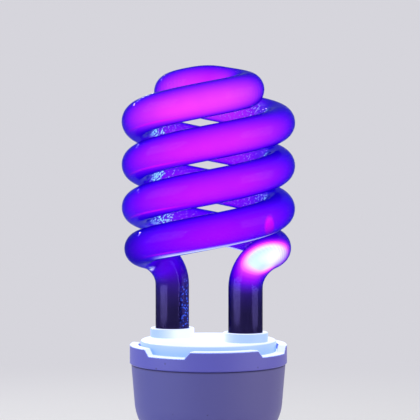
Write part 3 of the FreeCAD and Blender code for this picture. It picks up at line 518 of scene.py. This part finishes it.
# %% [markdown]
# ## Violet glass over a glow
# The filter glass takes up red and green light and lets blue and violet through, so a magenta glow
# behind it looks pink where the eye looks straight in, and blue at the rim of the tube, where the
# way through the glass is longer. That comes by itself if the glow is a tube of its own inside a
# solid of tinted glass. Its colours are written as they should look through the glass, and then
# divided by what the glass lets pass. Real glass would mirror the pale room along every rim and
# drown the blue there, so its index is set low and a small share of a violet mirror stands for the
# gloss.

# %% What the glass lets pass
GLASS_INDEX = 1.015
# A core of the tube's radius over the index looks as wide as the tube, and this one a little wider
GLOW_MARGIN = 1.005
GLOW_RADIUS = GLOW_MARGIN * TUBE_RADIUS / GLASS_INDEX
# Red, green and blue that the glass takes up, for each metre
TAKEN_UP = (22000.0, 26000.0, 4200.0)
GLASS_DEPTH = TUBE_RADIUS - GLOW_RADIUS
PASSED = [math.exp(-share * GLASS_DEPTH) for share in TAKEN_UP]
GLOW_POWER = 40.0


def behind_glass(colour, level=1.0):
    """The glow's own colour, as a share of its power, for a colour seen through the glass."""
    seen = linear(*colour)[:3]
    return tuple(min(1.0, level * c / p / GLOW_POWER) for c, p in zip(seen, PASSED)) + (1.0,)


print("the glass lets pass", [round(p, 3) for p in PASSED], "of red, green and blue")

# %% [markdown]
# ## Glow of the coating
# The coating is dark in the legs, violet in the lower turns and pink at the crown. It could be
# painted turn by turn, but with the run stored on the tube one ramp of colours does for all of it.
# A second ramp follows the way that a face looks: pinker towards the underside of the tube, and
# bluer towards its top. A thin pink line near the underside goes over both. Each half of the tube
# is the other turned round, so left and right are measured in a way that suits both halves.

# %% Glow along the tube and round it
# Run in mm, and the colour that is seen there
GLOW_ALONG = [
    (0.0, (4, 0, 14)),
    (15.0, (4, 0, 22)),
    (20.0, (6, 0, 28)),
    (24.5, (20, 0, 72)),
    (29.0, (42, 0, 128)),
    (35.0, (84, 0, 234)),
    (54.0, (78, 0, 190)),
    (66.0, (116, 0, 256)),
    (84.0, (160, 4, 280)),
    (160.0, (194, 20, 285)),
    (236.0, (218, 30, 285)),
    (308.0, (250, 56, 285)),
    (338.0, (258, 72, 285)),
    (HALF_RUN / MM, (214, 32, 285)),
]
# How far up a face looks, from 0 to 1, and the share of red, green and blue that it sends out
GLOW_AROUND = [
    (0.0, (0.54, 0.44, 0.66, 1)),
    (0.12, (0.82, 0.72, 0.68, 1)),
    (0.25, (0.77, 0.72, 0.68, 1)),
    (0.45, (0.68, 0.68, 0.68, 1)),
    (0.66, (0.58, 0.51, 0.68, 1)),
    (0.88, (0.40, 0.30, 0.68, 1)),
    (1.0, (0.32, 0.22, 0.54, 1)),
]
# Where the pink line begins and where it is full: how far to the left, and the run
LINE_SIDE = (4 * MM, 20 * MM)
LINE_RUN = (60 * MM, 80 * MM)
LINE_COLOUR = behind_glass((250, 30, 225), 1.7)


def run_along(finish):
    return finish.node("ShaderNodeAttribute", {"attribute_name": RUN}, None, "Fac")


def twin_side(finish):
    """How far a place is to the left in front of the axis, or to the right behind it."""
    x, y, _ = finish.parts_of(finish.place)
    return x * finish.math("SIGN", y)


def coating_colour(finish):
    """The glow without its white spot."""
    run = run_along(finish)
    along = [(place * MM / HALF_RUN, behind_glass(colour)) for place, colour in GLOW_ALONG]
    cloud = finish.noise(90.0, 3.0)
    upward = finish.parts_of(finish.normal)[2] * 0.5 + 0.5
    clouded = finish.shade(finish.ramp(run / HALF_RUN, along), 1.30 + cloud * 0.40)
    colour = finish.shade(clouded, finish.ramp(upward, GLOW_AROUND))

    # The pink line fades out half way round, and towards the leg
    under = finish.smooth(upward, 0.160, 0.132) * finish.smooth(upward, 0.095, 0.112)
    left = finish.smooth(twin_side(finish), *LINE_SIDE)
    line = under * left * finish.smooth(run, *LINE_RUN)
    return finish.mix(line * 0.85, colour, LINE_COLOUR)


print("the glow has", len(GLOW_ALONG), "colours along the tube and", len(GLOW_AROUND), "round it")

# %% [markdown]
# ## White spot of the discharge
# At the elbow, where it leaves the dark leg, the discharge burns white through the glass. A light
# placed inside would spill onto the leg and the turns, so the spot is a finish of the coating: an
# ellipsoid that leans with the elbow, with a ramp of colours from its middle outwards. They are
# white, pale cyan, pink, and a violet that sinks into the glow round it. The spot stays on one side
# of the tube. Towards the tube's edge its light has more glass to pass, so it is made brighter and
# redder there. The light that it throws on the turn above is painted there as a small magenta
# patch.

# %% Spot, and its painted light on the turn above
SPOT_PLACE = Vector((20.8, -4.0, 99.7)) * MM
SPOT_SIZE = Vector((10.0, 16.0, 5.3)) * MM
SPOT_LEAN = math.radians(12)
# Share of its size at which the spot has sunk into the glow
SPOT_REACH = 2.4
# Share of the spot's size, the colour that is seen there, and its level
SPOT_RINGS = [
    (0.0, (255, 255, 255), 2.2),
    (0.40, (242, 258, 258), 1.4),
    (0.70, (222, 260, 260), 1.1),
    (0.88, (232, 254, 260), 1.05),
    (0.98, (284, 205, 260), 1.0),
    (1.10, (290, 122, 258), 1.0),
    (1.24, (226, 50, 262), 1.0),
    (1.46, (176, 10, 265), 1.0),
    (1.85, (108, 0, 260), 1.0),
]
RIM_GAIN = (3.8, 2.9, 1.4, 1)
# The spot's light on the turn above, painted as a magenta patch
SPOT_LIGHT_PLACE = Vector((20.6, -18.0, 111.2)) * MM
SPOT_LIGHT_SIZE = Vector((1.8, 9.0, 3.6)) * MM
SPOT_LIGHT_COLOUR = behind_glass((270, 14, 262))


def from_spot(finish, spot, size, lean=0.0):
    """Distance from a spot on the right-hand half of the tube or from its twin on the left, 1 at
    its edge. The left is turned round to the right before it is measured."""
    x, y, z = finish.parts_of(finish.place)
    side = finish.math("SIGN", x)
    paired = finish.node("ShaderNodeCombineXYZ", None, {"X": x * side, "Y": y * side, "Z": z})
    offset = finish.node("ShaderNodeVectorRotate", {"rotation_type": "Y_AXIS"},
                         {"Vector": finish.vector("SUBTRACT", paired, spot), "Angle": lean})
    return finish.vector("LENGTH", finish.vector("DIVIDE", offset, size), None, "Value")


def with_spot(finish, colour):
    side = finish.math("SIGN", finish.parts_of(finish.place)[0])
    turned = finish.parts_of(finish.normal)[1] * side
    spread = from_spot(finish, SPOT_PLACE, SPOT_SIZE, SPOT_LEAN)
    rim = finish.smooth(turned, -0.92, -0.40)
    other_side = finish.smooth(turned, -0.1, 0.7)
    away = spread + rim * 0.25 + other_side * 1.6
    rings = [(place / SPOT_REACH, behind_glass(seen, level)) for place, seen, level in SPOT_RINGS]
    gain = finish.mix(rim * finish.smooth(spread, 1.25, 0.85), WHITE, RIM_GAIN)
    hot = finish.shade(finish.ramp(away / SPOT_REACH, rings), gain)
    return finish.mix(finish.smooth(away, 1.3, SPOT_REACH), hot, colour)


# Painted light: the spot's glow on the turn above, as a patch of magenta
def with_painted_spot_light(finish, colour):
    painted_light_patch = finish.smooth(from_spot(finish, SPOT_LIGHT_PLACE, SPOT_LIGHT_SIZE), 1.25, 0.75)
    return finish.mix(painted_light_patch, colour, SPOT_LIGHT_COLOUR)


def glow_finish():
    finish = Finish("glowing_coating")
    colour = with_painted_spot_light(finish, with_spot(finish, coating_colour(finish)))
    return finish.done(finish.principled(
        base_color=linear(14, 9, 22), roughness=0.9,
        emission_color=colour, emission_strength=GLOW_POWER))


print("the spot has", len(SPOT_RINGS), "rings, the widest of",
      round(SPOT_RINGS[-1][0] * SPOT_SIZE.x / MM, 1), "mm")

# %% [markdown]
# ## Gloss, dust and painted light on the glass
# Three things lie on the clear glass. A faint violet mirror, smeared by handling, stands for the
# gloss, and is stronger on the dark legs. Fine dust lies on the faces that look into the coil, and
# its shine in the lamp's own light is painted on it as a glow: lilac, blue-white on drifts near the
# ends of the turns, and blue on the legs. On the undersides of the lowest turns, the light of the
# glowing cover is painted as a reflection. Dust could be strewn as tiny grains, but there would be
# far too many. So each of the three is a shader of its own, laid over the one below by a mask that
# depends on the place and on the way that a face looks.

# %% Gloss
SHEEN = 0.038
# Heights between which the coil's finish turns into the legs'
LEG_TURN = (96 * MM, 88 * MM)


def on_legs(finish):
    """1 on the legs, 0 on the coil."""
    return finish.smooth(finish.parts_of(finish.place)[2], *LEG_TURN)


def glossy_glass(finish):
    leg = on_legs(finish)
    smear = finish.smooth(finish.noise(55.0, 4.0, 0.6), 0.45, 0.75)
    ripple = finish.bump(finish.noise(120.0, 1.0), 0.10 * MM, 0.25)
    clear = finish.principled(
        base_color=WHITE, roughness=smear * 0.03, ior=GLASS_INDEX, transmission_weight=1.0)
    sheen = finish.principled(
        base_color=finish.mix(leg, linear(124, 84, 255), linear(150, 136, 240)), metallic=1.0,
        roughness=0.05 + smear * 0.10, normal=ripple)
    return finish.layer(SHEEN * (0.8 + smear * 0.6) * (1.0 + leg * 0.9), clear, sheen)


print("gloss of", SHEEN, "on the coil")

# %% Dust
DUST_SCALE = 1150.0
# Heights between which a turn comes to count as low, and how far aside drifts begin and are full
LOW_TURNS = (118 * MM, 94 * MM)
LEFT_DRIFT = (-9 * MM, -17 * MM)
RIGHT_DRIFT = (10 * MM, 19 * MM)


def facing_axis(finish):
    """1 where a face looks away from the lamp's axis, -1 where it looks at it."""
    level = finish.vector("MULTIPLY", finish.place, (1, 1, 0))
    return finish.vector(
        "DOT_PRODUCT", finish.vector("NORMALIZE", level), finish.normal, "Value")


def with_dust_and_painted_glow(finish, surface):
    leg = on_legs(finish)
    z = finish.parts_of(finish.place)[2]
    low = finish.smooth(z, *LOW_TURNS) * 0.35
    inside = finish.smooth(facing_axis(finish) + low * (1.0 - leg * 0.6), -0.45, -0.85)

    # Drifts of dust lie near the ends of the turns that show between the front ones, painted bright
    side = twin_side(finish)
    ends = finish.smooth(side, *LEFT_DRIFT) + finish.smooth(side, *RIGHT_DRIFT) * 0.4
    drift = ends * finish.smooth(finish.noise(150.0, 2.0), 0.38, 0.54) * (1.0 - low * 1.5)
    grain = finish.node("ShaderNodeTexVoronoi", None,
                        {"Vector": finish.place, "Scale": DUST_SCALE}, "Distance")
    specks = finish.smooth(grain - drift * 0.24 - leg * 0.10, 0.31, 0.17)

    # Between the specks lies a veil. The glow painted on both is dimmer on the low turns
    painted_veil_glow = finish.mix(drift, linear(84, 2, 234), linear(48, 26, 214))
    painted_veil_glow = finish.mix(leg, finish.shade(painted_veil_glow, 1.0 - low * 1.9), linear(18, 14, 100))
    painted_spark = finish.mix(drift, linear(160, 92, 260), linear(160, 240, 285))
    painted_spark = finish.mix(leg, finish.shade(painted_spark, 1.0 - low * 1.2), linear(50, 100, 262))
    # The dust's shine in the tube's light is painted as its emission; on the legs the sparks are
    # painted blue glints of the collars' glow
    dust_and_painted_glow = finish.principled(
        base_color=linear(26, 18, 66), roughness=0.9,
        emission_color=finish.mix(specks, painted_veil_glow, painted_spark), emission_strength=0.95)
    return finish.layer(inside * (0.55 + specks * 0.45), surface, dust_and_painted_glow)


print("a dust grain about every", round(1 / DUST_SCALE / MM, 2), "mm")

# %% Painted light of the cover, and the glass as a whole
# Where each painted mark begins and is full: the strip by its run, the glint by its height and run
STRIP_START, STRIP_END = (70 * MM, 79 * MM), (134 * MM, 90 * MM)
GLINT_TOP, GLINT_BOTTOM = (99 * MM, 95 * MM), (89 * MM, 92 * MM)
GLINT_END = (54 * MM, 46 * MM)


# Painted reflection: the glowing cover's light on the undersides of the lowest turns
def with_painted_caught_light(finish, surface):
    run = run_along(finish)
    z = finish.parts_of(finish.place)[2]
    down = finish.parts_of(finish.normal)[2] * -1.0
    painted_strip = finish.smooth(down, 0.80, 0.86) * finish.smooth(down, 0.965, 0.935)
    stretch = finish.smooth(run, *STRIP_START) * finish.smooth(run, *STRIP_END)

    # A broken glint is painted under the elbow
    elbow = finish.smooth(z, *GLINT_TOP) * finish.smooth(z, *GLINT_BOTTOM)
    broken = finish.smooth(finish.noise(320.0, 1.0), 0.46, 0.56)
    painted_glint = elbow * finish.smooth(run, *GLINT_END) * broken
    colour = finish.mix(
        finish.smooth(down, 0.86, 0.93), linear(150, 118, 255), linear(205, 236, 255))
    painted_cover_reflection = finish.principled(
        base_color=linear(120, 110, 200), roughness=0.5,
        emission_color=colour, emission_strength=0.7)
    return finish.layer(painted_strip * finish.math("MAXIMUM", stretch, painted_glint), surface, painted_cover_reflection)


def glass_finish():
    finish = Finish("violet_glass")
    surface = with_painted_caught_light(finish, with_dust_and_painted_glow(finish, glossy_glass(finish)))
    density = max(TAKEN_UP)
    tint = tuple(1 - taken / density for taken in TAKEN_UP) + (1.0,)
    volume = finish.node(
        "ShaderNodeVolumeAbsorption", None, {"Color": tint, "Density": density})
    return finish.done(surface, volume)


print("glow and glass are ready to use")

# %% [markdown]
# ## Glass tube and glow
# The glass ends in two flat pinched feet inside the cover. The sweep makes a round end, so the
# points of the foot are pressed towards the plane of the pinch, the more the lower they are.

# %% Make the tube
TUBE_SIDES = 64
PINCH_LENGTH = 4.5 * MM
PINCH_WIDTH = 11.4 * MM
PINCH_THICKNESS = 3.0 * MM


def pinch_feet(mesh):
    """Press the glass below the foot's height into a flat pinch, on both legs."""
    radial = Vector((math.cos(LEG_ANGLE), math.sin(LEG_ANGLE), 0))
    across = Vector((-radial.y, radial.x, 0))
    for vertex in mesh.vertices:
        if vertex.co.z >= FOOT:
            continue
        share = (FOOT - vertex.co.z) / PINCH_LENGTH
        side = 1 if vertex.co.dot(radial) > 0 else -1
        leg = radial * (side * LEG_REACH)
        offset = vertex.co - leg
        thin = 1 + share * (PINCH_THICKNESS / (2 * TUBE_RADIUS) - 1)
        wide = 1 + share * (PINCH_WIDTH / (2 * TUBE_RADIUS) - 1)
        pressed = radial * (offset.dot(radial) * thin) + across * (offset.dot(across) * wide)
        vertex.co = Vector((leg.x + pressed.x, leg.y + pressed.y, vertex.co.z))


glass = swept_tube(
    "tube_glass", tube_path(FOOT - PINCH_LENGTH), TUBE_RADIUS, TUBE_SIDES, glass_finish())
pinch_feet(glass.data)
glow = swept_tube("tube_glow", tube_path(FOOT), GLOW_RADIUS, TUBE_SIDES, glow_finish())
for piece in (glass, glow):
    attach(piece, "root")
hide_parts("spiral_tube")
print("tube replaces the solid spiral_tube")

# %% [markdown]
# ## White plastic that fluoresces
# The cover and the cup are white moulded plastic. In the lamp's own light they look lavender, and
# their brightener turns ultraviolet into a blue-white glow where the tube shines on them: on every
# face that looks up, and on the disc and the collars next to the legs. The stage's own light is
# white and would hide both, so both are painted light: the lavender is painted into the plastic's
# colour, and the glow is painted as emission by height, by distance from the axis and by the way
# that a face looks, all of which stay with the part.

# %% Moulded plastic
RIM_RADIUS = 27.7 * MM


def plastic_grain(finish):
    """Fine spark-eroded texture of a mould, as a normal."""
    return finish.bump(finish.noise(2600.0, 2.0), 0.02 * MM, 0.5)


def painted_lamp_light_tone(finish, low, high):
    """Painted light: white plastic given the lavender of the lamp's violet light, one tone on the
    left running to another on the right as its surroundings light it, a little clouded.
    """
    x = finish.parts_of(finish.place)[0]
    cloud = finish.noise(40.0, 3.0)
    side = finish.smooth(x / RIM_RADIUS + cloud * 0.6 - 0.3, -0.9, 1.0)
    return finish.mix(side, low, high)


def soiled(finish, colour):
    """A colour with a few tiny dark specks of dirt."""
    speck = finish.smooth(finish.noise(520.0, 1.0), 0.745, 0.79)
    return finish.mix(speck * 0.55, colour, linear(46, 42, 84))


def dress(material, *names):
    """Give CAD nodes a finish in place of the plain one that they came with."""
    for name in names:
        slots = nodes[name].data.materials
        slots.clear()
        slots.append(material)
    print(material.name, "on", ", ".join(names))


print("plastic shades over", round(2 * RIM_RADIUS / MM, 1), "mm from left to right")

# %% Cover and cup
PARTING = 62.0 * MM
GROOVE_FLOOR = 66.4 * MM
DISC_TOP = 70.5 * MM
DISC_RADIUS = 23.9 * MM
EDGE_ROUND = 0.7 * MM
# Where the disc's painted light begins, by distance from the axis, and the painted shade of the
# seam, by height
DISC_LIGHT = (DISC_RADIUS + 0.9 * MM, DISC_RADIUS + 0.2 * MM)
SEAM_SHADE = (PARTING - 0.9 * MM, PARTING - 0.25 * MM)


def cover_finish():
    finish = Finish("cover_plastic")
    z = finish.parts_of(finish.place)[2]
    rounded = finish.node("ShaderNodeBevel", {"samples": 6}, {"Radius": EDGE_ROUND})
    upward = finish.smooth(finish.parts_of(rounded)[2], 0.05, 0.75)
    near = finish.smooth(finish.from_axis(), *DISC_LIGHT)
    inward = finish.smooth(facing_axis(finish), 0.6, -0.4)
    deep = finish.smooth(z, GROOVE_FLOOR, DISC_TOP)
    painted_wall_glow = near * (0.50 + deep * 0.10 + inward * 0.40)
    colour = painted_lamp_light_tone(finish, linear(87, 89, 191), linear(97, 92, 188))
    # Painted light: the tube's light on the plastic, as a blue-white glow on faces that look up and
    # on the disc's wall and the collars
    glow = finish.ramp(finish.math("MAXIMUM", upward, painted_wall_glow), [
        (0.0, linear(0, 0, 0)),
        (0.5, linear(120, 170, 236)),
        (1.0, linear(236, 248, 255)),
    ])
    return finish.done(finish.principled(
        base_color=soiled(finish, colour), roughness=0.42, normal=plastic_grain(finish),
        emission_color=glow, emission_strength=1.0))


def housing_finish():
    finish = Finish("housing_plastic")
    z = finish.parts_of(finish.place)[2]
    colour = painted_lamp_light_tone(finish, linear(79, 81, 160), linear(91, 85, 148))
    # Painted shade in the narrow gap of the parting line
    seam_shade = finish.smooth(z, *SEAM_SHADE)
    colour = finish.mix(seam_shade * 0.9, colour, linear(60, 54, 104))
    return finish.done(finish.principled(
        base_color=soiled(finish, colour), roughness=0.45, normal=plastic_grain(finish)))


dress(cover_finish(), "tube_cover")
dress(housing_finish(), "ballast_housing")

# %% [markdown]
# ## Screw cap
# The cap is a thin shell of nickel-plated brass with a rolled thread, closed by a cone of black
# glass that holds the contact plate. Rolled metal shows fine rings round its axis. They are too
# fine to model, so a noise that is stretched flat makes them.

# %% Metals and black glass
RINGS_ACROSS, RINGS_UP = 30, 4000


def rolled_metal(name, bright, dull, roughness):
    """Sheet metal with fine rings round the lamp's axis and a few stains."""
    finish = Finish(name)
    flat = finish.vector("MULTIPLY", finish.place, (RINGS_ACROSS, RINGS_ACROSS, RINGS_UP))
    rings = finish.noise(1.0, 3.0, 0.6, place=flat)
    stain = finish.smooth(finish.noise(160.0, 4.0, 0.6), 0.5, 0.8)
    return finish.done(finish.principled(
        base_color=finish.mix(stain * 0.5, bright, dull), metallic=1.0,
        roughness=roughness + rings * 0.12 + stain * 0.12,
        normal=finish.bump(rings, 0.01 * MM, 0.4)))


def black_glass():
    finish = Finish("black_cap_glass")
    swirl = finish.noise(200.0, 5.0, 0.6)
    colour = finish.mix(swirl, linear(14, 13, 16), linear(38, 34, 44))
    return finish.done(finish.principled(
        base_color=colour, roughness=0.12 + swirl * 0.12,
        normal=finish.bump(swirl, 0.08 * MM, 0.3)))


dress(rolled_metal("nickel_shell", linear(206, 202, 194), linear(150, 142, 128), 0.22),
      "screw_shell")
dress(rolled_metal("tinned_contact", linear(190, 190, 192), linear(140, 136, 130), 0.34),
      "centre_contact")
dress(black_glass(), "cap_insulator")

# %% [markdown]
# ## Inside the cup
# Nothing of the ballast shows through the closed cup, but each of its parts is a node of its own
# and somebody may take the cup off. A few makers' finishes cover them: moulded or dipped plastics,
# wound copper, ferrite, drawn wire, cement and the fibre board. Most are two tones in fine grains,
# so one function makes those from a row of values.

# %% Copper and board
WIRE_TURN = 0.35 * MM
BOARD_THREAD = 0.8 * MM


def wave(finish, value, length):
    """A sine along a value, with a wave of one length, from -1 to 1."""
    return finish.math("SINE", value * (2 * math.pi / length))


def wound_copper():
    """Enamelled wire in close turns, one above the other."""
    finish = Finish("enamelled_copper")
    turns = wave(finish, finish.parts_of(finish.place)[2], WIRE_TURN) * 0.5 + 0.5
    colour = finish.mix(turns, linear(112, 46, 20), linear(206, 112, 58))
    return finish.done(finish.principled(
        base_color=colour, metallic=0.85, roughness=0.3,
        normal=finish.bump(turns, 0.12 * MM, 0.8)))


def fibre_board():
    """Tan board with a faint square weave."""
    finish = Finish("fibre_board")
    x, y, _ = finish.parts_of(finish.place)
    weave = wave(finish, x, BOARD_THREAD) * wave(finish, y, BOARD_THREAD) * 0.5 + 0.5
    cloud = finish.noise(300.0, 3.0)
    colour = finish.mix(weave * 0.4 + cloud * 0.4, linear(150, 112, 62), linear(190, 152, 96))
    return finish.done(finish.principled(
        base_color=colour, roughness=0.6, normal=finish.bump(weave, 0.03 * MM, 0.4)))


dress(wound_copper(), "choke_winding", "drive_ring_windings", "filter_winding")
dress(fibre_board(), "ballast_board")


# %% Finishes of two tones
def speckled(name, first, second, size, roughness, depth, metallic=0.0):
    """A finish of two tones in grains of one size, with a matching relief."""
    finish = Finish(name)
    grain = finish.noise(1 / size, 4.0, 0.6)
    tones = finish.mix(finish.smooth(grain, 0.35, 0.65), linear(*first), linear(*second))
    return finish.done(finish.principled(
        base_color=tones, metallic=metallic, roughness=roughness + grain * 0.15,
        normal=finish.bump(grain, depth, 0.5)))


dress(speckled("white_cement", (196, 190, 178), (222, 218, 208), 0.5 * MM, 0.8, 0.05 * MM),
      "leg_cement_1", "leg_cement_2")
dress(speckled("tinned_wire", (176, 176, 180), (206, 206, 208), 0.3 * MM, 0.25, 0.01 * MM, 1.0),
      "filament_lead_1", "filament_lead_2", "filament_lead_3", "filament_lead_4")
dress(speckled("capacitor_sleeve", (22, 26, 40), (34, 38, 56), 1.0 * MM, 0.3, 0.01 * MM),
      "bulk_capacitor")
dress(speckled("transistor_case", (24, 24, 26), (40, 40, 42), 0.2 * MM, 0.5, 0.01 * MM),
      "switching_transistor_1", "switching_transistor_2")
dress(speckled("film_coating", (122, 34, 24), (150, 48, 34), 0.8 * MM, 0.3, 0.02 * MM),
      "resonant_capacitor", "start_capacitor")
dress(speckled("mains_insulation", (188, 186, 180), (206, 204, 200), 0.5 * MM, 0.45, 0.01 * MM),
      "mains_wire_shell", "mains_wire_contact")
dress(speckled("ferrite", (38, 37, 38), (62, 60, 60), 0.25 * MM, 0.55, 0.02 * MM),
      "choke_core", "drive_ring", "filter_core")
dress(speckled("bobbin_plastic", (34, 32, 30), (52, 50, 46), 0.4 * MM, 0.45, 0.01 * MM),
      "choke_bobbin")
dress(speckled("diode_case", (20, 20, 22), (34, 34, 36), 0.2 * MM, 0.4, 0.01 * MM),
      "rectifier_diodes", "trigger_diode")
dress(speckled("resistor_body", (176, 150, 112), (198, 172, 132), 0.4 * MM, 0.4, 0.01 * MM),
      "bias_resistors", "fuse_resistor")
